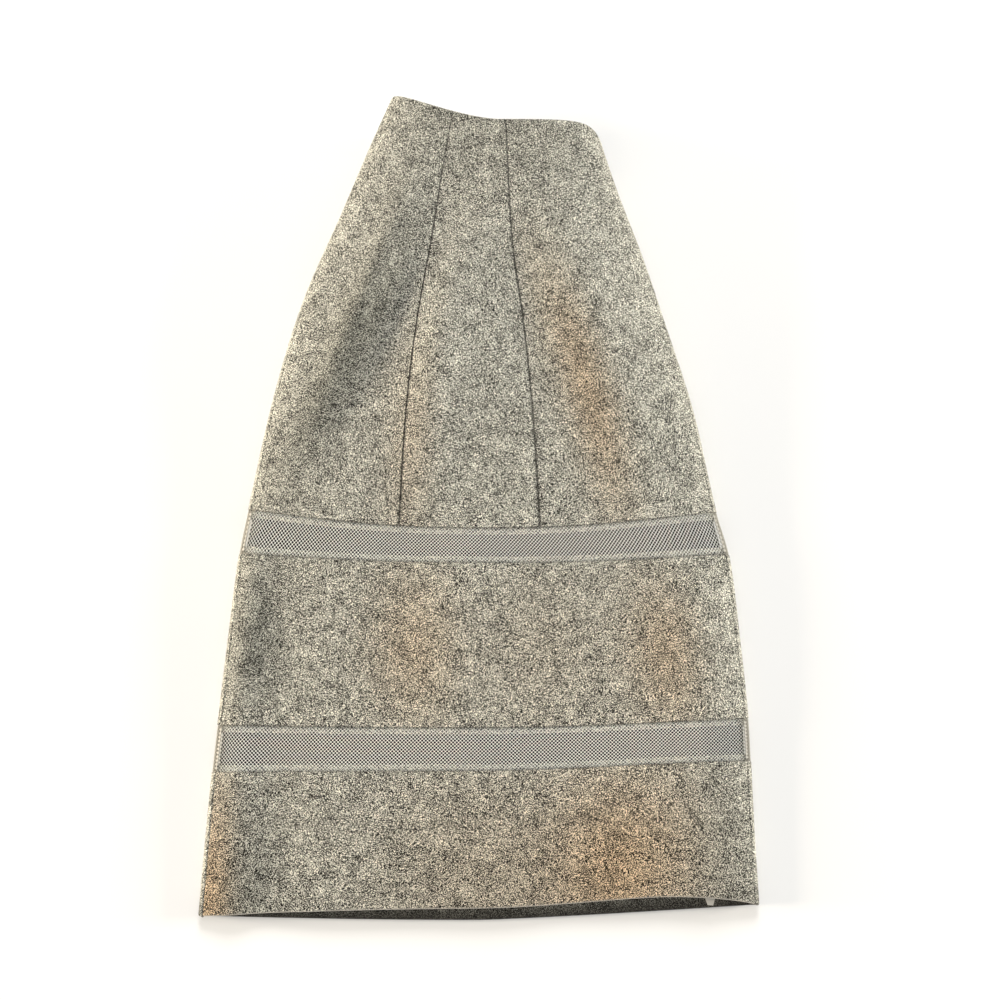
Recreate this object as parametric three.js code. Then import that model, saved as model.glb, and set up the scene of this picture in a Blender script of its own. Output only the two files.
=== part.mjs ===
// A wool pencil skirt with two net bands, laid front up on a flat surface.
// The waist points to +Y and the hem to -Y. The back lies on z = 0 and the front arches over it.
// Left and right are as seen from above, with the waist at the top.
import * as THREE from "three";

// Cloth, in millimetres
const WOOL_THICKNESS = 2;
const NET_THICKNESS = 1.2;
const NET_RECESS = 0.4; // the net lies this far under the outer face of the wool
const TAPE_THICKNESS = 0.8;
const LINING_THICKNESS = 1;
const LINING_SLACK = 0.8; // the lining hangs this far inside the front
const SEAM_GAP = 0.3; // between pieces that are sewn together
const SIDE_SEAM_INSET = 5; // the side seams lie on the front, this far inside the folded edges

// Lengths down the centre front, from the waist edge
const UPPER_BAND_TOP = 418;
const UPPER_BAND_BOTTOM = 455;
const LOWER_BAND_TOP = 616;
const LOWER_BAND_BOTTOM = 659;
const HEM = 797;

// Plan of each level line. front and back are the y of the line in the middle of each layer, left and
// right are the x of the folded edges, and the rises say how much nearer the waist the line ends there.
// A larger bend keeps the line straight for longer before it rises.
const PLAN = {
  down: [0, 55, 125, 210, 300, 418, 455, 540, 616, 659, 730, 797],
  front: [389, 334, 259, 168, 71, -49, -84, -170, -246, -287, -352, -415],
  back: [395, 339, 263, 170, 71, -51, -87, -175, -253, -296, -363, -427],
  left: [-98.5, -122.5, -153.5, -191.5, -219, -242, -249, -256.5, -262, -265, -268, -270.5],
  right: [136, 153, 176, 200.5, 225, 246, 257, 264.5, 269, 269.5, 269.5, 270.5],
  riseLeft: [36.5, 37.5, 37, 34, 29, 23.5, 13, 5, 2.5, -1.5, -5, -8],
  riseRight: [-34, -20, -6, 4, 13, 21, 12, 8, 9, 9, 8, 2],
  bendLeft: [1.5, 1.5, 1.6, 1.8, 2, 2, 2, 2, 2, 2, 2, 2],
  bendRight: [14, 8, 5, 3, 2, 2, 2, 2, 1.8, 1.6, 1.4, 1.2],
};

// Section of the tube at the same level lines. crown is the height of the middle of the front, the edge
// heights are where the tube is widest, a larger boxy number squares the shoulder between the two, and
// each turn is how far in from the edge the back first touches the surface.
const SECTION = {
  down: PLAN.down,
  crown: [80, 74, 66, 58, 50, 40, 37, 31, 27, 24, 20, 16],
  edgeLeft: [45, 40, 32, 25, 19, 14, 13, 11, 10, 9, 8.5, 8],
  edgeRight: [20, 20, 19, 18, 16, 14, 13, 11, 10, 9, 9, 9],
  boxyLeft: [5, 4, 3.4, 3, 2.8, 2.7, 2.7, 2.7, 2.7, 2.7, 2.7, 2.7],
  boxyRight: [4, 3.4, 3, 2.7, 2.6, 2.5, 2.5, 2.6, 2.7, 2.7, 2.7, 2.7],
  turnLeft: [30, 28, 25, 22, 18, 14, 13, 11, 10, 9, 8, 8],
  turnRight: [22, 20, 18, 16, 14, 13, 12, 11, 10, 9, 9, 9],
};

// The two long seams of the front, as x at lengths down the front
const FRONT_SEAMS = {
  down: [0, 125, 210, 300, 418],
  left: [-30, -51, -66, -76, -82],
  right: [26, 33, 45, 54, 61],
};
const CENTRE_BACK_SEAM_X = 0;

// Broad folds of the front, crests and troughs that run down it. line holds the fold's x at its top, its
// middle and its bottom, top and bottom are y. It fades at both ends, and raises the cloth by height (or
// lowers it) over about its width.
const FOLDS = [
  { top: 390, bottom: -30, line: [-46, -126, -206], width: 22, height: 13 }, // swell along the left edge
  { top: 370, bottom: -30, line: [-22, -95, -170], width: 34, height: -8 }, // left trough
  { top: 300, bottom: -70, line: [-15, -45, -58], width: 25, height: 9 }, // ridge by the left seam
  { top: 330, bottom: 40, line: [28, 42, 52], width: 22, height: -7 }, // hollow by the right seam
  { top: 350, bottom: -20, line: [80, 124, 184], width: 32, height: 8 }, // ridge to the right hip
  { top: 20, bottom: -330, line: [-232, -239, -243], width: 17, height: 12 }, // middle, swell at the left
  { top: 10, bottom: -330, line: [-203, -207, -210], width: 42, height: -8 }, // middle, left trough
  { top: 10, bottom: -330, line: [-18, -20, -22], width: 40, height: 9 }, // middle, ridge
  { top: 10, bottom: -330, line: [125, 125, 125], width: 42, height: -3 }, // middle, right trough
  { top: 0, bottom: -330, line: [214, 228, 230], width: 26, height: 8 }, // middle, swell at the right
  { top: -190, bottom: -530, line: [-238, -240, -242], width: 17, height: 11 }, // lower, swell at the left
  { top: -190, bottom: -530, line: [-205, -208, -210], width: 38, height: -6 }, // lower, left trough
  { top: -190, bottom: -530, line: [0, 5, 8], width: 50, height: 2 }, // lower, ridge
  { top: -190, bottom: -530, line: [95, 90, 90], width: 45, height: -3 }, // lower, right trough
  { top: -190, bottom: -530, line: [228, 220, 216], width: 28, height: 7 }, // lower, swell at the right
];

// The front hem stands up in a low wave near its right end
const HEM_WAVE = { x: 240, halfWidth: 130, raise: 5, drawBack: 16.5, length: 260 };

// The end of a narrow tape, sewn inside the front, that shows under the hem
const HEM_TAPE = { x: 222.5, width: 10.2, above: 24, below: 7 };

// A dark lining lies inside the front and shows through its net. Only that stretch is here: it runs past the
// two bands by this much, and stays this share of the front's width clear of each side seam.
const LINING_PAST_BANDS = 13;
const LINING_CLEAR_OF_SIDES = 0.02;

const SECTION_STEPS = 160; // straight steps in one half of a section before it is divided evenly
const NORMAL_STEP = 0.5; // how far to each side the slope of the cloth is read

const wool = { color: 0xa09a88, roughness: 0.95, metalness: 0 };
const net = { color: 0xe2ddcf, roughness: 0.7, metalness: 0 };
const tape = { color: 0xe6e4dc, roughness: 0.8, metalness: 0 };
const lining = { color: 0x1c1b1a, roughness: 0.5, metalness: 0 };

// Smooth value of one column of a table at a length down the front, run on straight past its ends
function columnAt(table, column, down) {
  const at = table.down;
  const values = table[column];
  const last = at.length - 1;
  let i = 0;
  while (i < last - 1 && down > at[i + 1]) i += 1;
  const slope = (a, b) => (values[b] - values[a]) / (at[b] - at[a]);
  const chord = slope(i, i + 1);
  if (down <= at[0] || down >= at[last]) {
    const end = down <= at[0] ? 0 : last;
    return values[end] + chord * (down - at[end]);
  }
  const startSlope = i > 0 ? slope(i - 1, i + 1) : chord;
  const endSlope = i + 1 < last ? slope(i, i + 2) : chord;
  const step = at[i + 1] - at[i];
  const t = (down - at[i]) / step;
  const fromStart = (1 + 2 * t) * (1 - t) ** 2 * values[i] + t * (1 - t) ** 2 * step * startSlope;
  const fromEnd = t * t * (3 - 2 * t) * values[i + 1] + t * t * (t - 1) * step * endSlope;
  return fromStart + fromEnd;
}

// Every plan and section value at a length down the front
function levelAt(down) {
  const level = {};
  for (const table of [PLAN, SECTION]) {
    for (const column of Object.keys(table)) {
      if (column !== "down") level[column] = columnAt(table, column, down);
    }
  }
  level.middle = (level.left + level.right) / 2;
  level.half = (level.right - level.left) / 2;
  return level;
}

// How much the folds raise the front at a place in plan
function foldHeight(x, y) {
  let raised = 0;
  for (const { top, bottom, line, width, height } of FOLDS) {
    const t = Math.min(Math.max((top - y) / (top - bottom), 0), 1);
    const lineX = (1 - t) * (1 - 2 * t) * line[0] + 4 * t * (1 - t) * line[1] + t * (2 * t - 1) * line[2];
    raised += height * Math.exp(-(((x - lineX) / width) ** 2)) * Math.sin(Math.PI * t) ** 2;
  }
  return raised;
}

// Low wave of the hem: 1 at its crest, fading to the sides and up the skirt
function hemWave(x, down) {
  const side = Math.exp(-(((x - HEM_WAVE.x) / HEM_WAVE.halfWidth) ** 2));
  const up = Math.max(0, 1 - (HEM - down) / HEM_WAVE.length);
  return side * Math.min(up, 1) ** 2;
}

// A point of the front's outer face. across runs from -1 at the left folded edge to 1 at the right one.
function frontAt(level, across, down) {
  const onLeft = across < 0;
  const edge = onLeft ? level.edgeLeft : level.edgeRight;
  const boxy = onLeft ? level.boxyLeft : level.boxyRight;
  const rise = onLeft ? level.riseLeft : level.riseRight;
  const bend = onLeft ? level.bendLeft : level.bendRight;
  const arch = (1 - Math.abs(across) ** boxy) ** (1 / boxy);
  const x = level.middle + level.half * across;
  const y = level.front + rise * Math.abs(across) ** bend;
  const wave = hemWave(x, down);
  const z = edge + (level.crown - edge) * arch + (foldHeight(x, y) + HEM_WAVE.raise * wave) * arch ** 2;
  return new THREE.Vector3(x, y + HEM_WAVE.drawBack * wave * arch ** 2, z);
}

// A point of the back's outer face, flat on the surface up to its turned edges
function backAt(level, across) {
  const onLeft = across < 0;
  const edge = onLeft ? level.edgeLeft : level.edgeRight;
  const turn = onLeft ? level.turnLeft : level.turnRight;
  const rise = onLeft ? level.riseLeft : level.riseRight;
  const bend = onLeft ? level.bendLeft : level.bendRight;
  const intoTurn = Math.max(0, Math.abs(across) * level.half - (level.half - turn)) / turn;
  const y = level.back + (level.front + rise - level.back) * Math.abs(across) ** bend;
  const z = edge * (1 - Math.sqrt(Math.max(0, 1 - intoTurn ** 2)));
  return new THREE.Vector3(level.middle + level.half * across, y, z);
}

// The outer face at one length: the front from side seam to side seam, and the back round both edges.
// Steps crowd towards the edges, where the cloth turns.
const sections = new Map();
function sectionAt(down) {
  if (sections.has(down)) return sections.get(down);
  const level = levelAt(down);
  const front = [];
  const back = [];
  const crowded = (i) => -Math.cos((Math.PI * i) / SECTION_STEPS);
  const inset = SIDE_SEAM_INSET / level.half;
  for (let i = 0; i <= SECTION_STEPS; i += 1) {
    front.push(frontAt(level, crowded(i) * (1 - inset), down));
    back.push(backAt(level, -crowded(i)));
  }
  const edgeSteps = SECTION_STEPS / 8; // from each folded edge to its side seam
  for (let i = 1; i <= edgeSteps; i += 1) {
    const across = 1 - inset * (i / edgeSteps) ** 2;
    back.unshift(frontAt(level, across, down));
    back.push(frontAt(level, -across, down));
  }
  const section = { front: measured(front), back: measured(back) };
  sections.set(down, section);
  return section;
}

// A line of points with the distance along it at each
function measured(points) {
  const reach = [0];
  for (let i = 1; i < points.length; i += 1) reach.push(reach[i - 1] + points[i].distanceTo(points[i - 1]));
  return { points, reach };
}

// The point at a share (0 to 1) of a measured line
function pointAlong({ points, reach }, share) {
  const wanted = share * reach.at(-1);
  let i = 1;
  while (i < reach.length - 1 && reach[i] < wanted) i += 1;
  const t = (wanted - reach[i - 1]) / (reach[i] - reach[i - 1]);
  return points[i - 1].clone().lerp(points[i], t);
}

// The share of a measured line where it crosses a given x
function shareAtX({ points, reach }, x) {
  let i = 1;
  while (i < points.length - 1 && (points[i - 1].x - x) * (points[i].x - x) > 0) i += 1;
  const t = (x - points[i - 1].x) / (points[i].x - points[i - 1].x);
  return (reach[i - 1] + t * (reach[i] - reach[i - 1])) / reach.at(-1);
}

// Outer face of a layer with its unit normal, which points out of the tube
function facePoint(layer, share, down) {
  const line = sectionAt(down)[layer];
  const nudge = NORMAL_STEP / line.reach.at(-1);
  const point = pointAlong(line, share);
  const before = pointAlong(line, Math.max(0, share - nudge));
  const after = pointAlong(line, Math.min(1, share + nudge));
  const lower = pointAlong(sectionAt(down + NORMAL_STEP)[layer], share);
  const upper = pointAlong(sectionAt(down - NORMAL_STEP)[layer], share);
  const normal = after.sub(before).cross(upper.sub(lower)).normalize();
  return { point, normal };
}

// One sewn piece: a closed wall between two depths under the outer face. from and to give the shares
// where it starts and ends at a length, and the piece keeps half a seam gap from each neighbour.
function clothPiece({ layer, from, to, top, bottom, across, along, outer, inner, crowd }) {
  const corners = [];
  for (let j = 0; j <= along; j += 1) {
    const down = top + ((bottom - top) * j) / along;
    const length = sectionAt(down)[layer].reach.at(-1);
    const start = from(down) + SEAM_GAP / 2 / length;
    const end = to(down) - SEAM_GAP / 2 / length;
    for (let i = 0; i <= across; i += 1) {
      const { point, normal } = facePoint(layer, start + (end - start) * crowd(i / across), down);
      corners.push([outer, inner].map((depth) => point.clone().addScaledVector(normal, -depth)));
    }
  }
  const positions = corners.flatMap((pair) => pair.flatMap((corner) => corner.toArray()));
  const index = [];
  const corner = (i, j, side) => 2 * (j * (across + 1) + i) + side;
  const quad = (a, b, c, d) => index.push(a, b, c, a, c, d);
  for (let j = 0; j < along; j += 1) {
    for (let i = 0; i < across; i += 1) {
      quad(corner(i, j, 0), corner(i, j + 1, 0), corner(i + 1, j + 1, 0), corner(i + 1, j, 0));
      quad(corner(i, j, 1), corner(i + 1, j, 1), corner(i + 1, j + 1, 1), corner(i, j + 1, 1));
    }
    quad(corner(0, j, 0), corner(0, j, 1), corner(0, j + 1, 1), corner(0, j + 1, 0));
    quad(corner(across, j, 0), corner(across, j + 1, 0), corner(across, j + 1, 1), corner(across, j, 1));
  }
  for (let i = 0; i < across; i += 1) {
    quad(corner(i, 0, 0), corner(i + 1, 0, 0), corner(i + 1, 0, 1), corner(i, 0, 1));
    quad(corner(i, along, 0), corner(i, along, 1), corner(i + 1, along, 1), corner(i + 1, along, 0));
  }
  const geometry = new THREE.BufferGeometry();
  geometry.setAttribute("position", new THREE.Float32BufferAttribute(positions, 3));
  geometry.setIndex(index);
  return geometry;
}

// Where pieces end along the section: at a long seam of the front, the centre back or a side of the tape
const seamAt = (column) => (down) => shareAtX(sectionAt(down).front, columnAt(FRONT_SEAMS, column, down));
const centreBack = (down) => shareAtX(sectionAt(down).back, CENTRE_BACK_SEAM_X);
const tapeSide = (side) => (down) =>
  shareAtX(sectionAt(down).front, HEM_TAPE.x + side * (HEM_TAPE.width / 2));
const lineStart = () => 0;
const lineEnd = () => 1;
const liningStart = () => LINING_CLEAR_OF_SIDES;
const liningEnd = () => 1 - LINING_CLEAR_OF_SIDES;
const leftSeam = seamAt("left");
const rightSeam = seamAt("right");

// How the steps of a piece crowd towards the folded edges
const even = (t) => t;
const crowdStart = (t) => t ** 1.5;
const crowdEnd = (t) => 1 - (1 - t) ** 1.5;
const crowdBoth = (t) => (t + (1 - Math.cos(Math.PI * t)) / 2) / 2;

// Walls, as depths under the outer face
const woolWall = { material: wool, outer: 0, inner: WOOL_THICKNESS };
const netWall = { material: net, outer: NET_RECESS, inner: NET_RECESS + NET_THICKNESS };
const tapeDepth = WOOL_THICKNESS + SEAM_GAP;
const tapeWall = { material: tape, outer: tapeDepth, inner: tapeDepth + TAPE_THICKNESS };
const liningDepth = WOOL_THICKNESS + LINING_SLACK;
const liningWall = { material: lining, outer: liningDepth, inner: liningDepth + LINING_THICKNESS };

// Stretches down the skirt, from the waist to the hem
const gap = SEAM_GAP / 2;
const upper = { top: 0, bottom: UPPER_BAND_TOP - gap, along: 18 };
const upperBand = { top: UPPER_BAND_TOP + gap, bottom: UPPER_BAND_BOTTOM - gap, along: 2 };
const middle = { top: UPPER_BAND_BOTTOM + gap, bottom: LOWER_BAND_TOP - gap, along: 6 };
const lowerBand = { top: LOWER_BAND_TOP + gap, bottom: LOWER_BAND_BOTTOM - gap, along: 2 };
const lower = { top: LOWER_BAND_BOTTOM + gap, bottom: HEM, along: 6 };
const behindNet = {
  top: UPPER_BAND_TOP - LINING_PAST_BANDS,
  bottom: LOWER_BAND_BOTTOM + LINING_PAST_BANDS,
  along: 12,
};
const underHem = { top: HEM - HEM_TAPE.above, bottom: HEM + HEM_TAPE.below, along: 3 };

// Widths round the skirt. The back's line runs from the right side seam, under the skirt, to the left.
const front = { layer: "front", from: lineStart, to: lineEnd, across: 28, crowd: crowdBoth };
const frontLeft = { layer: "front", from: lineStart, to: leftSeam, across: 10, crowd: crowdStart };
const frontCentre = { layer: "front", from: leftSeam, to: rightSeam, across: 6, crowd: even };
const frontRight = { layer: "front", from: rightSeam, to: lineEnd, across: 10, crowd: crowdEnd };
const back = { layer: "back", from: lineStart, to: lineEnd, across: 32, crowd: crowdBoth };
const backRight = { layer: "back", from: lineStart, to: centreBack, across: 16, crowd: crowdStart };
const backLeft = { layer: "back", from: centreBack, to: lineEnd, across: 16, crowd: crowdEnd };
const frontInside = { layer: "front", from: liningStart, to: liningEnd, across: 28, crowd: crowdBoth };
const tapeEnd = { layer: "front", from: tapeSide(-1), to: tapeSide(1), across: 2, crowd: even };

const pieces = {
  front_upper_left: { ...woolWall, ...upper, ...frontLeft },
  front_upper_centre: { ...woolWall, ...upper, ...frontCentre },
  front_upper_right: { ...woolWall, ...upper, ...frontRight },
  front_band_upper: { ...netWall, ...upperBand, ...front },
  front_middle: { ...woolWall, ...middle, ...front },
  front_band_lower: { ...netWall, ...lowerBand, ...front },
  front_lower: { ...woolWall, ...lower, ...front },
  back_upper_right: { ...woolWall, ...upper, ...backRight },
  back_upper_left: { ...woolWall, ...upper, ...backLeft },
  back_band_upper: { ...netWall, ...upperBand, ...back },
  back_middle: { ...woolWall, ...middle, ...back },
  back_band_lower: { ...netWall, ...lowerBand, ...back },
  back_lower: { ...woolWall, ...lower, ...back },
  front_lining: { ...liningWall, ...behindNet, ...frontInside },
  hem_tape: { ...tapeWall, ...underHem, ...tapeEnd },
};

const skirt = new THREE.Group();
for (const [name, piece] of Object.entries(pieces)) {
  const mesh = new THREE.Mesh(clothPiece(piece), new THREE.MeshStandardMaterial(piece.material));
  mesh.name = name;
  skirt.add(mesh);
}

export default skirt;
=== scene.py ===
# A pencil skirt of thick grey marled wool with two bands of cream net, laid flat with its front up.
from math import radians

import bpy
import numpy as np
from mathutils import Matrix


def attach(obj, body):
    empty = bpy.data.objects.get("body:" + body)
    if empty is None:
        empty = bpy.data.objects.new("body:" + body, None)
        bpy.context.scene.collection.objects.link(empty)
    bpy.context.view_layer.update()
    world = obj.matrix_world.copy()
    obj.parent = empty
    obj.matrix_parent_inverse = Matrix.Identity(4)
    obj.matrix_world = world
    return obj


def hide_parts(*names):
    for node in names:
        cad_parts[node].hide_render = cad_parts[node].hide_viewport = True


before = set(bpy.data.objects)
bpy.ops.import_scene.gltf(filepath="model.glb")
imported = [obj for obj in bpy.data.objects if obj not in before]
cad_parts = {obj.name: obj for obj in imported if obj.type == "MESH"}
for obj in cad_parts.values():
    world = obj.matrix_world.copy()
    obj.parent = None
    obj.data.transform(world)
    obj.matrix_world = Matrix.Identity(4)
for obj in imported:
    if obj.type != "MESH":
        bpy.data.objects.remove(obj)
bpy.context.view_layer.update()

MM = 0.001
bpy.ops.object.select_all(action="DESELECT")


# Camera: a photograph taken from nearly overhead, a little on the hem side of the skirt.
# The lens sees about 53 degrees, and the camera leans from straight down towards the waist.
camera_height = 1034 * MM
camera_lean = radians(12.5)
camera_x = 20.3 * MM
camera_y = -240 * MM
bpy.ops.object.camera_add(location=(camera_x, camera_y, camera_height), rotation=(camera_lean, 0, 0))
camera = bpy.context.object
camera.name = "camera"
camera.data.lens = 36
camera.data.sensor_width = 36
bpy.context.scene.camera = camera


# Front, upper part: three panels of milled wool about 2 mm thick, cut with flare from waist to hip and
# joined by two long seams. The cloth is stiff, so the waist stands open and the front arches off the back.
# The tables give the lie of the whole skirt in millimetres, at lengths down the centre front.
WOOL_THICKNESS = 2.0
SIDE_SEAM_INSET = 5.0
UPPER_BAND_TOP = 418.0
UPPER_BAND_BOTTOM = 455.0
LOWER_BAND_TOP = 616.0
LOWER_BAND_BOTTOM = 659.0
HEM = 797.0
LEVELS = {
    "down": [0, 55, 125, 210, 300, 418, 455, 540, 616, 659, 730, 797],
    "front": [389, 334, 259, 168, 71, -49, -84, -170, -246, -287, -352, -415],
    "back": [395, 339, 263, 170, 71, -51, -87, -175, -253, -296, -363, -427],
    "left": [-98.5, -122.5, -153.5, -191.5, -219, -242, -249, -256.5, -262, -265, -268, -270.5],
    "right": [136, 153, 176, 200.5, 225, 246, 257, 264.5, 269, 269.5, 269.5, 270.5],
    "rise_left": [36.5, 37.5, 37, 34, 29, 23.5, 13, 5, 2.5, -1.5, -5, -8],
    "rise_right": [-34, -20, -6, 4, 13, 21, 12, 8, 9, 9, 8, 2],
    "bend_left": [1.5, 1.5, 1.6, 1.8, 2, 2, 2, 2, 2, 2, 2, 2],
    "bend_right": [14, 8, 5, 3, 2, 2, 2, 2, 1.8, 1.6, 1.4, 1.2],
    "crown": [80, 74, 66, 58, 50, 40, 37, 31, 27, 24, 20, 16],
    "edge_left": [45, 40, 32, 25, 19, 14, 13, 11, 10, 9, 8.5, 8],
    "edge_right": [20, 20, 19, 18, 16, 14, 13, 11, 10, 9, 9, 9],
    "boxy_left": [5, 4, 3.4, 3, 2.8, 2.7, 2.7, 2.7, 2.7, 2.7, 2.7, 2.7],
    "boxy_right": [4, 3.4, 3, 2.7, 2.6, 2.5, 2.5, 2.6, 2.7, 2.7, 2.7, 2.7],
    "turn_left": [30, 28, 25, 22, 18, 14, 13, 11, 10, 9, 8, 8],
    "turn_right": [22, 20, 18, 16, 14, 13, 12, 11, 10, 9, 9, 9],
}
FRONT_SEAMS = {
    "down": [0, 125, 210, 300, 418],
    "left": [-30, -51, -66, -76, -82],
    "right": [26, 33, 45, 54, 61],
}
# Broad folds of the front, crests and troughs that run down it: y of the top and the bottom, x at the top,
# middle and bottom, width, and how much each raises the cloth
FOLDS = [
    (390, -30, (-46, -126, -206), 22, 13),  # swell along the left edge
    (370, -30, (-22, -95, -170), 34, -8),  # left trough
    (300, -70, (-15, -45, -58), 25, 9),  # ridge by the left seam
    (330, 40, (28, 42, 52), 22, -7),  # hollow by the right seam
    (350, -20, (80, 124, 184), 32, 8),  # ridge to the right hip
    (20, -330, (-232, -239, -243), 17, 12),  # middle, swell at the left
    (10, -330, (-203, -207, -210), 42, -8),  # middle, left trough
    (10, -330, (-18, -20, -22), 40, 9),  # middle, ridge
    (10, -330, (125, 125, 125), 42, -3),  # middle, right trough
    (0, -330, (214, 228, 230), 26, 8),  # middle, swell at the right
    (-190, -530, (-238, -240, -242), 17, 11),  # lower, swell at the left
    (-190, -530, (-205, -208, -210), 38, -6),  # lower, left trough
    (-190, -530, (0, 5, 8), 50, 2),  # lower, ridge
    (-190, -530, (95, 90, 90), 45, -3),  # lower, right trough
    (-190, -530, (228, 220, 216), 28, 7),  # lower, swell at the right
]
# Painted warm light: where the warm lamp falls on the front, its grey is tinted warmer and browner, in the
# same columns, with how much in the last
WARM_LIGHT_PATCHES = [
    (300, -120, (44, 112, 156), 28, 0.6),  # slanting, right of the right seam
    (200, -150, (-60, -72, -80), 26, 0.25),  # along the left seam
    (-50, -290, (-72, -70, -68), 44, 0.4),  # middle panel, left
    (-30, -310, (60, 60, 60), 90, 0.2),  # middle panel, middle
    (-50, -300, (176, 186, 192), 36, 0.5),  # middle panel, right
    (-220, -560, (20, 20, 20), 120, 0.3),  # lower panel, middle
    (-220, -540, (150, 142, 135), 70, 0.7),  # lower panel, right
    (-230, -600, (-262, -260, -258), 24, 0.8),  # lower panel, left edge
]
# Painted shade, colour darkened to stand in for shade: in the hollows beside the left edge, low at the right
# edge, and by the hem and the waist
SHADE_PATCHES = [
    (400, -110, (-50, -136, -254), 30, 0.8),  # upper panels, in the hollow
    (-10, -300, (-220, -224, -228), 30, 0.6),  # middle panel, in the hollow
    (-220, -620, (-220, -224, -228), 32, 0.6),  # lower panel, in the hollow
    (-230, -580, (238, 234, 232), 30, 0.5),  # lower panel, right edge
    (-300, -540, (0, 0, 0), 150, 0.3),  # along the hem
    (520, 270, (20, 30, 40), 120, 0.3),  # along the waist
]
# The front hem stands up in a low wave near its right end
WAVE_X = 240.0
WAVE_HALF_WIDTH = 130.0
WAVE_RAISE = 5.0
WAVE_DRAW_BACK = 16.5
WAVE_LENGTH = 260.0
SECTION_STEPS = 240
FOLD_STEPS = 30


def value_at(table, column, down):
    """Smooth value of a column at a length down the front, run on straight past its ends."""
    at = table["down"]
    values = table[column]
    last = len(at) - 1
    if down <= at[0]:
        slope = (values[1] - values[0]) / (at[1] - at[0])
        return values[0] + slope * (down - at[0])
    if down >= at[last]:
        slope = (values[last] - values[last - 1]) / (at[last] - at[last - 1])
        return values[last] + slope * (down - at[last])
    i = max(k for k in range(last) if at[k] <= down)
    step = at[i + 1] - at[i]
    chord = (values[i + 1] - values[i]) / step
    start = (values[i + 1] - values[i - 1]) / (at[i + 1] - at[i - 1]) if i > 0 else chord
    end = (values[i + 2] - values[i]) / (at[i + 2] - at[i]) if i + 1 < last else chord
    t = (down - at[i]) / step
    from_start = (1 + 2 * t) * (1 - t) ** 2 * values[i] + t * (1 - t) ** 2 * step * start
    return from_start + t * t * (3 - 2 * t) * values[i + 1] + t * t * (t - 1) * step * end


def sum_of_ridges(ridges, x, y):
    """The sum at places in plan of soft ridges, each of which fades to its sides and at both ends."""
    total = np.zeros(x.shape)
    for top, bottom, line, width, rise in ridges:
        t = np.clip((top - y) / (top - bottom), 0, 1)
        line_x = (1 - t) * (1 - 2 * t) * line[0] + 4 * t * (1 - t) * line[1] + t * (2 * t - 1) * line[2]
        total = total + rise * np.exp(-(((x - line_x) / width) ** 2)) * np.sin(np.pi * t) ** 2
    return total


def by_side(level, column, across):
    return np.where(across < 0, level[column + "_left"], level[column + "_right"])


def front_at(level, across, down):
    """Points of the front's outer face. across runs from -1 at the left folded edge to 1 at the right."""
    edge = by_side(level, "edge", across)
    boxy = by_side(level, "boxy", across)
    arch = (1 - np.abs(across) ** boxy) ** (1 / boxy)
    x = level["middle"] + level["half"] * across
    y = level["front"] + by_side(level, "rise", across) * np.abs(across) ** by_side(level, "bend", across)
    up = min(max(0.0, 1 - (HEM - down) / WAVE_LENGTH), 1.0)
    wave = np.exp(-(((x - WAVE_X) / WAVE_HALF_WIDTH) ** 2)) * up**2
    z = edge + (level["crown"] - edge) * arch + (sum_of_ridges(FOLDS, x, y) + WAVE_RAISE * wave) * arch**2
    return np.stack([x, y + WAVE_DRAW_BACK * wave * arch**2, z], axis=1)


def back_at(level, across):
    """Points of the back's outer face, flat on the surface up to its turned edges."""
    edge = by_side(level, "edge", across)
    turn = by_side(level, "turn", across)
    into_turn = np.maximum(0, np.abs(across) * level["half"] - (level["half"] - turn)) / turn
    reach = level["front"] + by_side(level, "rise", across) - level["back"]
    y = level["back"] + reach * np.abs(across) ** by_side(level, "bend", across)
    z = edge * (1 - np.sqrt(np.maximum(0, 1 - into_turn**2)))
    return np.stack([level["middle"] + level["half"] * across, y, z], axis=1)


def section_at(layer, down):
    """The outer face of a layer at one length, as close points with the distance along them."""
    level = {c: value_at(LEVELS, c, down) for c in LEVELS if c != "down"}
    level["middle"] = (level["left"] + level["right"]) / 2
    level["half"] = (level["right"] - level["left"]) / 2
    crowded = -np.cos(np.linspace(0, np.pi, SECTION_STEPS + 1))
    inset = SIDE_SEAM_INSET / level["half"]
    if layer == "front":
        points = front_at(level, crowded * (1 - inset), down)
    else:
        near_edge = 1 - inset * np.linspace(1, 1 / FOLD_STEPS, FOLD_STEPS) ** 2
        right = front_at(level, near_edge, down)
        left = front_at(level, -near_edge[::-1], down)
        points = np.concatenate([right, back_at(level, -crowded), left])
    reach = np.concatenate([[0], np.cumsum(np.linalg.norm(np.diff(points, axis=0), axis=1))])
    return points, reach


def share_at_x(layer, down, x):
    """The share of a layer's line at one length where it crosses a given x."""
    points, reach = section_at(layer, down)
    middle = slice(None) if layer == "front" else slice(2 * FOLD_STEPS, -2 * FOLD_STEPS)
    xs = points[middle, 0]
    order = np.argsort(xs)
    return np.interp(x, xs[order], reach[middle][order]) / reach[-1]


def points_along(points, reach, places):
    """Points at places along a line, run on straight past its ends."""
    inside = np.clip(places, 0, reach[-1])
    found = np.stack([np.interp(inside, reach, points[:, k]) for k in range(3)], axis=1)
    from_start = (points[1] - points[0]) / (reach[1] - reach[0])
    from_end = (points[-1] - points[-2]) / (reach[-1] - reach[-2])
    found = found + np.minimum(places, 0)[:, None] * from_start
    return found + np.maximum(places - reach[-1], 0)[:, None] * from_end


def outer_face(layer, downs, widths):
    """A grid of points on the outer face, a row for each length. widths holds each row's places across, as
    a share of the line and millimetres added to it."""
    rows = []
    for down, (shares, added) in zip(downs, widths):
        points, reach = section_at(layer, down)
        rows.append(points_along(points, reach, shares * reach[-1] + added))
    return np.array(rows)


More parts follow.
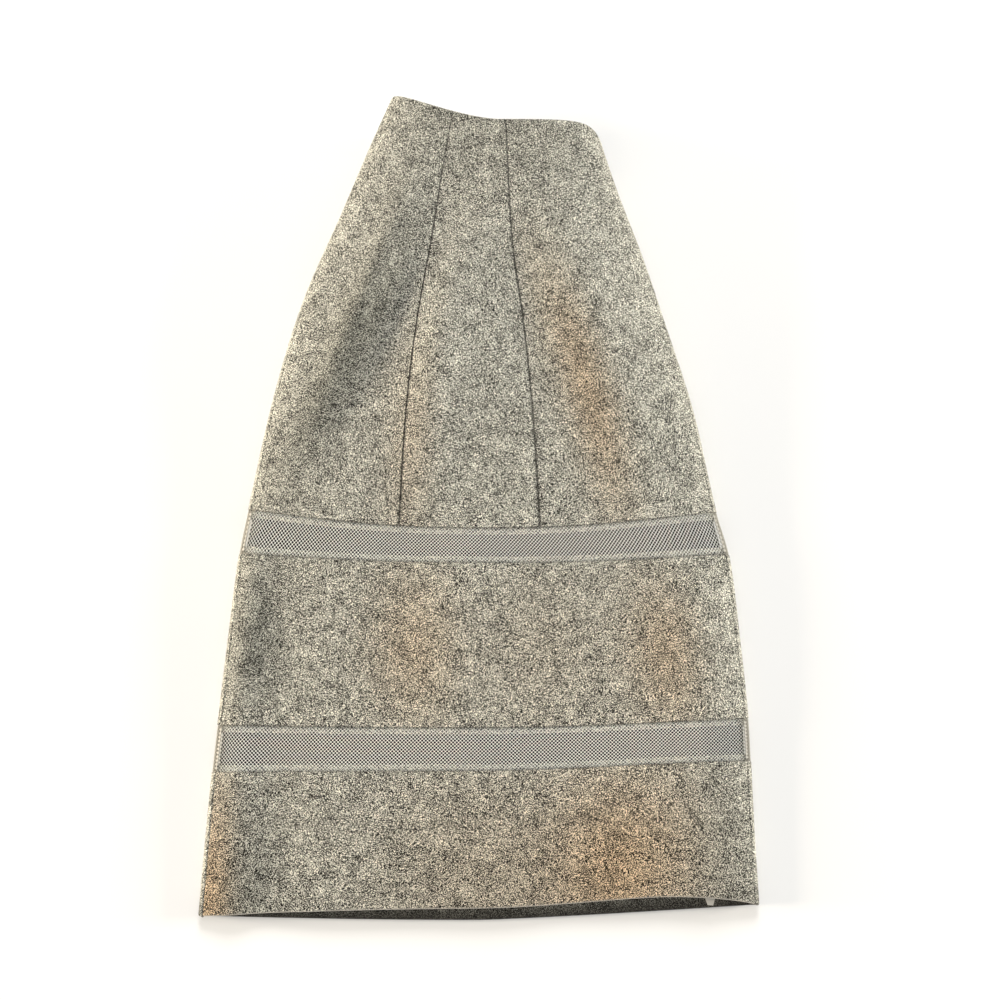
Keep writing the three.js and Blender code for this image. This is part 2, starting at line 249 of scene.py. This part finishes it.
def normals_of(grid):
    """Outward unit normals of a grid of points whose rows run down and whose columns run across."""
    across = np.gradient(grid, axis=1)
    down = np.gradient(grid, axis=0)
    normal = np.cross(down, across)
    return normal / np.maximum(np.linalg.norm(normal, axis=2, keepdims=True), 1e-9)


# Beside a seam the cloth rolls down towards the stitches, in steps that grow away from them
SEAM_GAP = 0.3
SEAM_ROLL = 1.0
# SEAM_SHADE is how far the painted shade in a seam's groove spreads, in millimetres
SEAM_SHADE = 0.76
ROLL_STEPS = np.array([0, 0.12, 0.35, 0.7, 1.1, 2.2])
CLOTH_STEP = 5.0
TURN_ROWS = 9
TURNED_IN_ROWS = 6
SMOOTH_BELOW = radians(60)


def steps_along(length):
    """Places along a length, close together near both ends."""
    inner = length - 2 * ROLL_STEPS[-1]
    count = max(2, round(inner / CLOTH_STEP))
    body = ROLL_STEPS[-1] + inner * np.arange(1, count) / count
    return np.concatenate([ROLL_STEPS, body, length - ROLL_STEPS[::-1]])


def panel_face(layer, top, bottom, first, last, seams):
    """Points of a panel's outer face, the plain face before it rolls into its seams, and how much painted
    shade each point has in a seam's groove, from 0 to 1. first and last give the shares of the line where the
    panel starts and ends. seams holds its sewn edges, with how dark the painted shade of each looks."""
    downs = top + steps_along(bottom - top)
    half_way = (top + bottom) / 2
    width = (last(half_way) - first(half_way)) * section_at(layer, half_way)[1][-1]
    across = steps_along(width)
    widths = []
    for down in downs:
        start = first(down)
        into = across / width
        widths.append((start + (last(down) - start) * into, SEAM_GAP / 2 * (1 - 2 * into)))
    face = outer_face(layer, downs, widths)
    from_edge = {
        "top": (downs - top)[:, None],
        "bottom": (bottom - downs)[:, None],
        "first": across[None, :],
        "last": (width - across)[None, :],
    }
    nearest = np.full(face.shape[:2], CLOTH_STEP)
    # Painted shade: darkest in the groove at each sewn edge
    groove_shade = np.zeros(face.shape[:2])
    for edge, darkness in seams.items():
        nearest = np.minimum(nearest, from_edge[edge])
        groove_shade = np.maximum(groove_shade, darkness * np.exp(-((from_edge[edge] / SEAM_SHADE) ** 2)))
    rolled = np.maximum(SEAM_ROLL - nearest, 0)
    sunk = SEAM_ROLL - np.sqrt(SEAM_ROLL**2 - rolled**2)
    return face - normals_of(face) * sunk[..., None], face, groove_shade


def turned_edge(face, plain, near, at_top, depth, turned_in):
    """Adds the rows of a turned edge: the cloth rolls over on itself and runs back inside, where the painted
    shade of its seams fades by half. Also gives how far out on the roll each point lies, for a painted
    highlight along the fold."""
    if at_top:
        face = face[::-1]
        plain = plain[::-1]
        near = near[::-1]
    run = plain[-1] - plain[-3]
    run = run / np.linalg.norm(run, axis=1, keepdims=True)
    out = normals_of(plain)[-1] * (-1 if at_top else 1)
    centre = face[-1] - out * depth
    rows = []
    on_fold = [0.0] * len(face)
    for angle in np.linspace(0, np.pi, TURN_ROWS)[1:]:
        rows.append(centre + out * depth * np.cos(angle) + run * depth * np.sin(angle))
        on_fold.append(np.sin(angle) ** 2)
    for back in np.linspace(0, turned_in, TURNED_IN_ROWS)[1:]:
        rows.append(centre - out * depth - run * back)
        on_fold.append(0.0)
    face = np.concatenate([face, np.array(rows)])
    near = np.concatenate([near, np.repeat(near[-1:] / 2, len(rows), axis=0)])
    lit_fold = np.repeat(np.array(on_fold)[:, None], face.shape[1], axis=1)
    if at_top:
        return face[::-1], near[::-1], lit_fold[::-1]
    return face, near, lit_fold


def grid_mesh(name, face, thickness, marks=None):
    """Lays a mesh grid on a table of points, in millimetres, and gives it a wall on its inner side. marks are
    the values from 0 to 1 that its material reads, each a table like the points."""
    rows, columns = face.shape[:2]
    bpy.ops.object.select_all(action="DESELECT")
    bpy.ops.mesh.primitive_grid_add(x_subdivisions=columns - 1, y_subdivisions=rows - 1, size=1)
    cloth = bpy.context.object
    cloth.name = name
    cloth.data.name = name
    start = np.empty(3 * rows * columns)
    cloth.data.vertices.foreach_get("co", start)
    start = start.reshape(-1, 3)
    column = np.rint((start[:, 0] + 0.5) * (columns - 1)).astype(int)
    row = np.rint((0.5 - start[:, 1]) * (rows - 1)).astype(int)
    cloth.data.vertices.foreach_set("co", (face[row, column] * MM).ravel())
    for mark, values in (marks or {}).items():
        attribute = cloth.data.attributes.new(mark, "FLOAT", "POINT")
        attribute.data.foreach_set("value", values[row, column].astype(np.float32))
    cloth.data.update()
    wall = cloth.modifiers.new("wall", "SOLIDIFY")
    wall.thickness = thickness * MM
    wall.offset = -1
    bpy.ops.object.modifier_apply(modifier=wall.name)
    bpy.ops.object.shade_smooth_by_angle(angle=SMOOTH_BELOW)
    return cloth


def cut_size(face):
    """Width, length and area in metres of the flat cloth that a face was cut from."""
    width = np.linalg.norm(np.diff(face, axis=1), axis=2).sum(axis=1).max()
    length = np.linalg.norm(np.diff(face, axis=0), axis=2).sum(axis=0).max()
    a = face[1:, :-1] - face[:-1, :-1]
    b = face[:-1, 1:] - face[:-1, :-1]
    c = face[:-1, 1:] - face[1:, 1:]
    d = face[1:, :-1] - face[1:, 1:]
    area = (np.linalg.norm(np.cross(a, b), axis=2) + np.linalg.norm(np.cross(c, d), axis=2)).sum() / 2
    return width * MM, length * MM, area * MM * MM


# Seam allowances are strips of the same cloth on the inside, pressed apart at a seam between two panels, and
# laid under the net where a panel meets a band
ALLOWANCE_WIDTH = 9.0
UNDER_NET = 6.5
ALLOWANCE_THICKNESS = 1.5
ALLOWANCE_DEPTH = 2.1
ALLOWANCE_STEP = 8
ALLOWANCE_COLUMNS = 4
ALLOWANCE_GAP = 0.2
PAST_SEAM = 0.7
CLEAR_OF_TURN = 5
BEHIND_PANEL = 3
UNDER_NET_ROWS = 5
UNDER_NET_COLUMNS = 90


def allowance(name, layer, downs, widths):
    face = outer_face(layer, downs, widths)
    face = face - normals_of(face) * ALLOWANCE_DEPTH
    return grid_mesh(name, face, ALLOWANCE_THICKNESS)


def allowances(layer, top, bottom, first, last, seams, turned):
    """The strips inside a panel's seams at its two ends, and past its top and bottom under the net."""
    strips = []
    downs = np.linspace(
        top + (CLEAR_OF_TURN if turned == "top" else 0),
        bottom - (CLEAR_OF_TURN if turned == "bottom" else 0),
        max(3, round((bottom - top) / ALLOWANCE_STEP)),
    )
    into = np.linspace(0, ALLOWANCE_WIDTH, ALLOWANCE_COLUMNS)
    if "first" in seams:
        widths = [(np.full(ALLOWANCE_COLUMNS, first(down)), into - PAST_SEAM) for down in downs]
        strips.append(allowance("strip", layer, downs, widths))
    if "last" in seams:
        added = into - ALLOWANCE_WIDTH - PAST_SEAM - ALLOWANCE_GAP
        widths = [(np.full(ALLOWANCE_COLUMNS, last(down)), added) for down in downs]
        strips.append(allowance("strip", layer, downs, widths))
    for edge, start, end in (
        ("top", top - UNDER_NET, top + BEHIND_PANEL),
        ("bottom", bottom - BEHIND_PANEL, bottom + UNDER_NET),
    ):
        if edge in seams:
            downs_under = np.linspace(start, end, UNDER_NET_ROWS)
            widths = []
            for down in downs_under:
                shares = np.linspace(first(down), last(down), UNDER_NET_COLUMNS)
                widths.append((shares, np.linspace(SEAM_GAP, -SEAM_GAP, UNDER_NET_COLUMNS)))
            strips.append(allowance("strip", layer, downs_under, widths))
    return strips


def colour(hex_value):
    """An sRGB hex colour as the linear numbers that shaders take."""
    parts = [int(hex_value[i : i + 2], 16) / 255 for i in (1, 3, 5)]
    return [p / 12.92 if p <= 0.04045 else ((p + 0.055) / 1.055) ** 2.4 for p in parts] + [1]


def add_node(material, kind, settings=None, inputs=None, links=None):
    """Adds one node, with its settings, the values of its inputs and the links into them."""
    node = material.node_tree.nodes.new(kind)
    for key, value in (settings or {}).items():
        setattr(node, key, value)
    for key, value in (inputs or {}).items():
        node.inputs[key].default_value = value
    for key, socket in (links or {}).items():
        material.node_tree.links.new(socket, node.inputs[key])
    return node


def milled_marled_wool():
    """Woven wool, milled until the weave is hidden. Dark, grey and cream fibres lie in every direction, so
    the eye sees a salt-and-pepper speckle with no gloss. Real fibres are 0.03 mm thick, and their tufts are
    drawn nearly a millimetre across, as coarse as they need to be to show."""
    material = bpy.data.materials.new("milled_marled_wool")
    material.use_nodes = True
    shader = material.node_tree.nodes["Principled BSDF"]
    place = add_node(material, "ShaderNodeTexCoord").outputs["Object"]
    tuft = 0.82 * MM
    cloud = 14 * MM
    tufts = add_node(
        material,
        "ShaderNodeTexNoise",
        inputs={"Scale": 1 / tuft, "Detail": 1.0, "Roughness": 0.5, "Distortion": 0.5},
        links={"Vector": place},
    )
    clouds = add_node(
        material,
        "ShaderNodeTexNoise",
        inputs={"Scale": 1 / cloud, "Detail": 3.0, "Roughness": 0.65},
        links={"Vector": place},
    )
    mixed = add_node(
        material,
        "ShaderNodeMix",
        {"data_type": "FLOAT"},
        inputs={0: 0.15},
        links={2: tufts.outputs["Fac"], 3: clouds.outputs["Fac"]},
    )
    fibres = add_node(material, "ShaderNodeValToRGB", links={"Fac": mixed.outputs[0]})
    stops = [
        (0.468, "#060604"),
        (0.489, "#1e1d17"),
        (0.515, "#504e45"),
        (0.537, "#949183"),
        (0.563, "#fbf8e7"),
    ]
    elements = fibres.color_ramp.elements
    while len(elements) < len(stops):
        elements.new(0.5)
    for element, (position, hex_value) in zip(elements, stops):
        element.position = position
        element.color = colour(hex_value)
    # Painted warm light: a warmer, browner tint where the warm lamp falls
    painted_warm_light = add_node(material, "ShaderNodeAttribute", {"attribute_name": "painted_warm_light"})
    warm_lit = add_node(
        material,
        "ShaderNodeMix",
        {"data_type": "RGBA", "blend_type": "MULTIPLY"},
        inputs={7: colour("#ffdcb9")},
        links={0: painted_warm_light.outputs["Fac"], 6: fibres.outputs["Color"]},
    )
    # Painted shade: darker in the hollows, low at the right edge, and by the hem and the waist
    painted_patch_shade = add_node(material, "ShaderNodeAttribute", {"attribute_name": "painted_patch_shade"})
    darkened = add_node(
        material,
        "ShaderNodeMix",
        {"data_type": "RGBA", "blend_type": "MULTIPLY"},
        inputs={7: colour("#adaeab")},
        links={0: painted_patch_shade.outputs["Fac"], 6: warm_lit.outputs[2]},
    )
    # Painted shade: near-black in the seam grooves, and on the back in the shadow under the front hem
    painted_seam_and_hem_shade = add_node(material, "ShaderNodeAttribute", {"attribute_name": "painted_seam_and_hem_shade"})
    seam_shaded = add_node(
        material,
        "ShaderNodeMix",
        {"data_type": "RGBA", "blend_type": "MIX"},
        inputs={7: colour("#0f0c09")},
        links={0: painted_seam_and_hem_shade.outputs["Fac"], 6: darkened.outputs[2]},
    )
    # Painted highlight: the front hem's fold is paler, as if lit
    painted_fold_highlight = add_node(material, "ShaderNodeAttribute", {"attribute_name": "painted_fold_highlight"})
    lit_fold = add_node(
        material,
        "ShaderNodeMix",
        {"data_type": "RGBA", "blend_type": "MIX"},
        inputs={7: colour("#dcd5c8")},
        links={0: painted_fold_highlight.outputs["Fac"], 6: seam_shaded.outputs[2]},
    )
    material.node_tree.links.new(lit_fold.outputs[2], shader.inputs["Base Color"])
    relief = add_node(
        material,
        "ShaderNodeBump",
        inputs={"Strength": 0.7, "Distance": 0.4 * MM},
        links={"Height": tufts.outputs["Fac"]},
    )
    material.node_tree.links.new(relief.outputs["Normal"], shader.inputs["Normal"])
    shader.inputs["Roughness"].default_value = 0.95
    shader.inputs["Specular IOR Level"].default_value = 0.15
    shader.inputs["Sheen Weight"].default_value = 0.1
    shader.inputs["Sheen Roughness"].default_value = 0.6
    return material


wool = milled_marled_wool()
TURN_EASE = 0.1
WAIST_TURNED_IN = 9.0
HEM_TURNED_IN = 24.0
HEM_SHADOW_WIDTH = 17.0
HEM_SHADOW_HEIGHT = 12.0


def sewn_panel(node, layer, top, bottom, first, last, seams, turned=None):
    """One wool panel with its seam allowances, in the place of its solid. The front hem has a painted
    highlight along its fold, and the back's inner face by the hem has a painted shadow, where the front hem
    shades it."""
    fold = WOOL_THICKNESS + TURN_EASE
    face, plain, near = panel_face(
        layer,
        top + (fold if turned == "top" else 0),
        bottom - (fold if turned == "bottom" else 0),
        first,
        last,
        seams,
    )
    width, length, area = cut_size(face)
    lit_fold = np.zeros(near.shape)
    if turned:
        turned_in = HEM_TURNED_IN if turned == "bottom" else WAIST_TURNED_IN
        face, near, lit_fold = turned_edge(face, plain, near, turned == "top", fold, turned_in)
    marks = {"painted_seam_and_hem_shade": near}
    if layer == "front":
        # Painted warm light on the front, where the warm lamp falls
        marks["painted_warm_light"] = sum_of_ridges(WARM_LIGHT_PATCHES, face[..., 0], face[..., 1])
        # Painted shade in the hollows, low at the right edge, and by the hem and the waist
        marks["painted_patch_shade"] = sum_of_ridges(SHADE_PATCHES, face[..., 0], face[..., 1])
        if turned == "bottom":
            # Painted highlight along the front hem's fold
            marks["painted_fold_highlight"] = lit_fold
    elif turned == "bottom":
        # Painted shadow: the back's inner face darkens by the hem, under the front hem
        from_hem = face[..., 1] - face[..., 1].min(axis=0)
        up_the_side = face[..., 2]
        painted_hem_shadow = np.exp(-((from_hem / HEM_SHADOW_WIDTH) ** 2) - (up_the_side / HEM_SHADOW_HEIGHT) ** 2)
        marks["painted_seam_and_hem_shade"] = np.maximum(near, painted_hem_shadow)
    panel = grid_mesh(node + "_cloth", face, WOOL_THICKNESS, marks)
    strips = allowances(layer, top, bottom, first, last, seams, turned)
    for part in strips + [panel]:
        part.select_set(True)
    bpy.context.view_layer.objects.active = panel
    bpy.ops.object.join()
    panel.data.materials.append(wool)
    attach(panel, "root")
    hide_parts(node)
    area = min(area, width * length)


def at_front_seam(column):
    return lambda down: share_at_x("front", down, value_at(FRONT_SEAMS, column, down))


def line_start(down):
    return 0.0


def line_end(down):
    return 1.0


half_gap = SEAM_GAP / 2
left_seam = at_front_seam("left")
right_seam = at_front_seam("right")
upper_bottom = UPPER_BAND_TOP - half_gap
# How dark the painted shade in each kind of seam is
LONG_SEAM = 1.0
BAND_SEAM = 0.3
SIDE_SEAM = 0.0
for side, first, last, first_shade, last_shade in (
    ("left", line_start, left_seam, SIDE_SEAM, LONG_SEAM),
    ("centre", left_seam, right_seam, LONG_SEAM, LONG_SEAM),
    ("right", right_seam, line_end, LONG_SEAM, SIDE_SEAM),
):
    seams = {"bottom": BAND_SEAM, "first": first_shade, "last": last_shade}
    sewn_panel("front_upper_" + side, "front", 0, upper_bottom, first, last, seams, "top")


# Back, upper part: two panels of the same wool, joined at the centre back. It lies flat under the front,
# and at both sides it turns up round the folded edge to the side seam.
def centre_back(down):
    return share_at_x("back", down, 0.0)


back_right_seams = {"bottom": BAND_SEAM, "first": SIDE_SEAM, "last": LONG_SEAM}
back_left_seams = {"bottom": BAND_SEAM, "first": LONG_SEAM, "last": SIDE_SEAM}
sewn_panel("back_upper_right", "back", 0, upper_bottom, line_start, centre_back, back_right_seams, "top")
sewn_panel("back_upper_left", "back", 0, upper_bottom, centre_back, line_end, back_left_seams, "top")


# Net bands: two strips of cream net let in between the wool panels, front and back. The meshes are diamonds
# about 3.6 mm across, between twisted threads that cross on the diagonal.
NET_RECESS = 0.4
NET_THICKNESS = 1.2
NET_PITCH = 3.6
HOLE_TO_KNOT = 1.32
HOLE_TO_LINK = 1.13
LINK_DROP = 0.2
THREAD_ROUND = 0.4
FOLDED_NET_WIDTH = 12.0
FOLDED_NET_THICKNESS = 0.6
FOLDED_NET_BEHIND = 0.2
FOLDED_NET_CLEAR = 0.3
FOLDED_NET_SHORT = 0.5
FOLDED_NET_ROWS = 8
FOLDED_NET_COLUMNS = 7
# How far the painted shade on the net spreads from the side seams, front and back
SIDE_SHADE_WIDTH = {"front": 6.0, "back": 20.0}


def cream_net_thread():
    """Twisted synthetic thread, pale cream, with a slight gloss. Near the side seams it is painted darker
    grey, as painted shade.
    """
    material = bpy.data.materials.new("cream_net_thread")
    material.use_nodes = True
    shader = material.node_tree.nodes["Principled BSDF"]
    # Painted shade: the thread greys near the side seams
    painted_side_shade = add_node(material, "ShaderNodeAttribute", {"attribute_name": "painted_side_shade"})
    thread = add_node(
        material,
        "ShaderNodeMix",
        {"data_type": "RGBA", "blend_type": "MIX"},
        inputs={6: colour("#f8f8f1"), 7: colour("#b0aca1")},
        links={0: painted_side_shade.outputs["Fac"]},
    )
    material.node_tree.links.new(thread.outputs[2], shader.inputs["Base Color"])
    shader.inputs["Roughness"].default_value = 0.55
    return material


net_thread = cream_net_thread()


def folded_net_in_shade():
    """The same net folded several times over and pressed, so that its holes no longer show. Its grey is
    painted shade.
    """
    material = bpy.data.materials.new("cream_net_folded_in_shade")
    material.use_nodes = True
    shader = material.node_tree.nodes["Principled BSDF"]
    # Painted shade: the folded net is drawn grey
    shader.inputs["Base Color"].default_value = colour("#9c978c")
    shader.inputs["Roughness"].default_value = 0.8
    return material


folded_net = folded_net_in_shade()


def fold_net_edges(band, top, bottom):
    """Lays the net's seam allowance, folded and pressed, inside both side seams of a band of the back."""
    for share, start in ((0.0, FOLDED_NET_CLEAR), (1.0, -FOLDED_NET_WIDTH - FOLDED_NET_CLEAR)):
        downs = np.linspace(top + FOLDED_NET_SHORT, bottom - FOLDED_NET_SHORT, FOLDED_NET_ROWS)
        across = start + np.linspace(0, FOLDED_NET_WIDTH, FOLDED_NET_COLUMNS)
        shares = np.full(FOLDED_NET_COLUMNS, share)
        face = outer_face("back", downs, [(shares, across)] * FOLDED_NET_ROWS)
        face = face - normals_of(face) * (NET_RECESS + NET_THICKNESS + FOLDED_NET_BEHIND)
        strip = grid_mesh("strip", face, FOLDED_NET_THICKNESS)
        strip.data.materials.append(net_thread)
        strip.data.materials.append(folded_net)
        strip.data.polygons.foreach_set("material_index", [1] * len(strip.data.polygons))
        strip.select_set(True)
        band.select_set(True)
        bpy.context.view_layer.objects.active = band
        bpy.ops.object.join()


def net_band(node, layer, top, bottom):
    """A band of net: knots in a checkerboard, thin links between them and a rounded hole in each mesh. Meshes
    that the sewn edges cut through stay open at the wool, and at the side seams they are closed."""
    rows = round((bottom - top) / (NET_PITCH / 2))
    line = section_at(layer, (top + bottom) / 2)[1][-1]
    columns = 2 * round(line / NET_PITCH)
    downs = np.linspace(top, bottom, rows + 1)
    face = outer_face(layer, downs, [(np.linspace(0, 1, columns + 1), 0.0)] * (rows + 1))
    normal = normals_of(face)
    crest = face - normal * NET_RECESS
    under = face - normal * (NET_RECESS + NET_THICKNESS)
    inner = face - normal * (NET_RECESS + NET_THICKNESS * THREAD_ROUND)
    points = []
    faces = []
    numbers = {}

    def number(key, value):
        if key not in numbers:
            numbers[key] = len(points)
            points.append(value)
        return numbers[key]

    def halfway(grid, a, b, drop):
        (c, r), (d, s) = a, b
        return (grid[r, c] + grid[s, d]) / 2 - (normal[r, c] + normal[s, d]) / 2 * drop

    for row in range(rows + 1):
        for column in range(columns + 1):
            if (row + column) % 2:
                continue
            knots = [(column, row - 1), (column - 1, row), (column, row + 1), (column + 1, row)]
            there = [0 <= c <= columns and 0 <= r <= rows for c, r in knots]
            high = []
            low = []
            for k, (c, r) in enumerate(knots):
                after = knots[(k + 1) % 4]
                link = tuple(sorted([(c, r), after]))
                high.append(number(("high", c, r), crest[r, c]) if there[k] else None)
                low.append(number(("low", c, r), under[r, c]) if there[k] else None)
                if there[k] and there[(k + 1) % 4]:
                    high.append(number(("high", link), halfway(crest, (c, r), after, LINK_DROP)))
                    low.append(number(("low", link), halfway(under, (c, r), after, -LINK_DROP)))
                else:
                    high.append(None)
                    low.append(None)
            if all(there):
                rim = []
                for k in range(8):
                    c, r = knots[k // 2]
                    d, s = knots[(k // 2 + k % 2) % 4]
                    towards = (inner[r, c] + inner[s, d]) / 2 - inner[row, column]
                    reach = HOLE_TO_LINK if k % 2 else HOLE_TO_KNOT
                    at = inner[row, column] + towards * reach / NET_PITCH * (2 * np.sqrt(2) if k % 2 else 2)
                    rim.append(number(("rim", column, row, k), at))
                for k in range(8):
                    after = (k + 1) % 8
                    faces.append((high[k], high[after], rim[after], rim[k]))
                    faces.append((rim[k], rim[after], low[after], low[k]))
            elif column in (0, columns) and 0 < row < rows:
                top_ring = [n for n in high if n is not None]
                under_ring = [n for n in low if n is not None]
                faces.append(tuple(top_ring))
                faces.append(tuple(reversed(under_ring)))
                a, b = (4, 0) if column == 0 else (0, 4)
                faces.append((high[a], high[b], low[b], low[a]))
            else:
                for k in range(8):
                    after = (k + 1) % 8
                    if high[k] is not None and high[after] is not None:
                        faces.append((high[k], high[after], low[after], low[k]))
    mesh = bpy.data.meshes.new(node + "_net")
    mesh.from_pydata((np.array(points) * MM).tolist(), [], faces)
    mesh.validate()
    band = bpy.data.objects.new(node + "_net", mesh)
    bpy.context.collection.objects.link(band)
    mesh.polygons.foreach_set("use_smooth", [True] * len(mesh.polygons))
    mesh.materials.append(net_thread)
    points = np.array(points)
    side_seams = np.concatenate([face[:, 0], face[:, -1]])
    from_seam = np.linalg.norm(points[:, None] - side_seams[None], axis=2).min(axis=1)
    # Painted shade, fading away from the side seams
    shade_near_seams = np.exp(-((from_seam / SIDE_SHADE_WIDTH[layer]) ** 2))
    painted_side_shade = mesh.attributes.new("painted_side_shade", "FLOAT", "POINT")
    painted_side_shade.data.foreach_set("value", shade_near_seams.astype(np.float32))
    if layer == "back":
        fold_net_edges(band, top, bottom)
    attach(band, "root")
    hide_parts(node)


for layer in ("back", "front"):
    net_band(layer + "_band_upper", layer, UPPER_BAND_TOP + half_gap, UPPER_BAND_BOTTOM - half_gap)
    net_band(layer + "_band_lower", layer, LOWER_BAND_TOP + half_gap, LOWER_BAND_BOTTOM - half_gap)


# Lining: a near-black lining hangs inside the front and makes the meshes of the net look dark. Only the
# stretch behind the two bands is here, thin and slightly rumpled, with a soft sheen.
LINING_THICKNESS = 0.5
LINING_DEPTH = 3.9
LINING_PAST_BANDS = 13
LINING_CLEAR_OF_SIDES = 0.0015
LINING_STEP = 5
LINING_COLUMNS = 110
RUMPLE_HEIGHT = 0.5
RUMPLE_WIDTH = 9
RUMPLE_SWAY = 2.2
RUMPLE_SWAY_LENGTH = 23


def lining_cloth():
    """Fine, closely woven lining: its filament yarns lie flat, so it has a soft sheen."""
    material = bpy.data.materials.new("near_black_lining")
    material.use_nodes = True
    shader = material.node_tree.nodes["Principled BSDF"]
    shader.inputs["Base Color"].default_value = colour("#0d0c0b")
    shader.inputs["Roughness"].default_value = 0.5
    shader.inputs["Specular IOR Level"].default_value = 0.25
    return material


lining_top = UPPER_BAND_TOP - LINING_PAST_BANDS
lining_bottom = LOWER_BAND_BOTTOM + LINING_PAST_BANDS
lining_downs = np.arange(lining_top, lining_bottom + 1, LINING_STEP)
lining_shares = np.linspace(LINING_CLEAR_OF_SIDES, 1 - LINING_CLEAR_OF_SIDES, LINING_COLUMNS)
face = outer_face("front", lining_downs, [(lining_shares, 0.0)] * len(lining_downs))
sway = RUMPLE_SWAY * np.sin(face[..., 1] / RUMPLE_SWAY_LENGTH)
rumples = RUMPLE_HEIGHT * np.sin(face[..., 0] / RUMPLE_WIDTH + sway) + RUMPLE_HEIGHT
face = face - normals_of(face) * (LINING_DEPTH + rumples)[..., None]
lining = grid_mesh("front_lining_cloth", face, LINING_THICKNESS)
lining.data.materials.append(lining_cloth())
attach(lining, "root")
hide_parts("front_lining")


# Middle panels: one wool panel front and back between the two net bands.
middle_top = UPPER_BAND_BOTTOM + half_gap
middle_bottom = LOWER_BAND_TOP - half_gap
all_seams = {"top": BAND_SEAM, "bottom": BAND_SEAM, "first": SIDE_SEAM, "last": SIDE_SEAM}
sewn_panel("back_middle", "back", middle_top, middle_bottom, line_start, line_end, all_seams)
sewn_panel("front_middle", "front", middle_top, middle_bottom, line_start, line_end, all_seams, None)


# Lower panels: one wool panel front and back under the lower band. The hem is turned up once and sewn
# invisibly inside.
lower_top = LOWER_BAND_BOTTOM + half_gap
hem_seams = {"top": BAND_SEAM, "first": SIDE_SEAM, "last": SIDE_SEAM}
sewn_panel("back_lower", "back", lower_top, HEM, line_start, line_end, hem_seams, "bottom")
sewn_panel("front_lower", "front", lower_top, HEM, line_start, line_end, hem_seams, "bottom")


# Hem tape: the end of a narrow woven tape, sewn inside the front on the turned-up hem, that hangs out a
# little below it.
TAPE_X = 222.5
TAPE_WIDTH = 10.2
TAPE_TIP_WIDTH = 5.5
TAPE_ABOVE_HEM = 24.0
TAPE_BELOW_HEM = 7.0
TAPE_THICKNESS = 0.8
TAPE_DEPTH = 2 * WOOL_THICKNESS + 0.5
TAPE_ROWS = 12
TAPE_COLUMNS = 5


def woven_tape():
    """Plain cotton tape in off-white, woven with fine cross ribs."""
    material = bpy.data.materials.new("off_white_woven_tape")
    material.use_nodes = True
    shader = material.node_tree.nodes["Principled BSDF"]
    shader.inputs["Base Color"].default_value = colour("#bbb7ae")
    shader.inputs["Roughness"].default_value = 0.85
    place = add_node(material, "ShaderNodeTexCoord").outputs["Object"]
    rib = 0.9 * MM
    # At scale 1 the bands of a wave texture lie 0.314 of a unit apart
    bands_apart = 0.314
    ribs = add_node(
        material,
        "ShaderNodeTexWave",
        {"wave_type": "BANDS", "bands_direction": "Y"},
        inputs={"Scale": bands_apart / rib, "Distortion": 0.4},
        links={"Vector": place},
    )
    relief = add_node(
        material,
        "ShaderNodeBump",
        inputs={"Strength": 0.6, "Distance": 0.2 * MM},
        links={"Height": ribs.outputs["Fac"]},
    )
    material.node_tree.links.new(relief.outputs["Normal"], shader.inputs["Normal"])
    return material


tape_downs = np.linspace(HEM - TAPE_ABOVE_HEM, HEM + TAPE_BELOW_HEM, TAPE_ROWS)
tape_widths = []
for down in tape_downs:
    past_hem = max(0.0, (down - HEM) / TAPE_BELOW_HEM)
    half = (TAPE_WIDTH + (TAPE_TIP_WIDTH - TAPE_WIDTH) * past_hem) / 2
    tape_widths.append((share_at_x("front", down, TAPE_X), np.linspace(-half, half, TAPE_COLUMNS)))
face = outer_face("front", tape_downs, tape_widths)
face = face - normals_of(face) * TAPE_DEPTH
tape = grid_mesh("hem_tape_end", face, TAPE_THICKNESS)
tape.data.materials.append(woven_tape())
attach(tape, "root")
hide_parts("hem_tape")


# Floor and light: a matt white surface in a pale room. Soft light comes from above the waist, a little from a
# pale wall at the hem, and low light from both sides: a warm lamp on the left and a window on the right.
bpy.ops.object.select_all(action="DESELECT")
bpy.ops.mesh.primitive_plane_add(size=6, location=(0, 0, 0))
floor = bpy.context.object
floor.name = "floor"
white_paint = bpy.data.materials.new("white_matt_paint")
white_paint.use_nodes = True
floor_shader = white_paint.node_tree.nodes["Principled BSDF"]
floor_shader.inputs["Base Color"].default_value = colour("#f7f7f6")
floor_shader.inputs["Roughness"].default_value = 0.9
floor_shader.inputs["Specular IOR Level"].default_value = 0.1
floor.data.materials.append(white_paint)

room = bpy.data.worlds.new("pale_room")
room.use_nodes = True
room.node_tree.nodes["Background"].inputs["Color"].default_value = colour("#ffffff")
room.node_tree.nodes["Background"].inputs["Strength"].default_value = 0.43
bpy.context.scene.world = room
bpy.context.scene.view_settings.view_transform = "Standard"


def soft_light(name, place, size, power, hex_value):
    """A square soft light that shines at the middle of the skirt."""
    bpy.ops.object.light_add(type="AREA", location=place)
    light = bpy.context.object
    light.name = name
    light.data.size = size
    light.data.energy = power
    light.data.color = colour(hex_value)[:3]
    away = np.hypot(place[0], place[1])
    light.rotation_euler = (float(np.arctan2(away, place[2])), 0, float(np.arctan2(place[0], -place[1])))


soft_light("window_at_waist", (0.1, 3.2, 2.1), 1.2, 86, "#ffffff")
soft_light("pale_wall_at_hem", (0.0, -2.6, 1.2), 1.2, 11, "#fffdf8")
soft_light("warm_lamp_left", (-4.5, -0.1, 0.75), 1.2, 345, "#fff1dc")
soft_light("cool_window_right", (4.5, 0.3, 0.75), 1.2, 250, "#fffaf0")
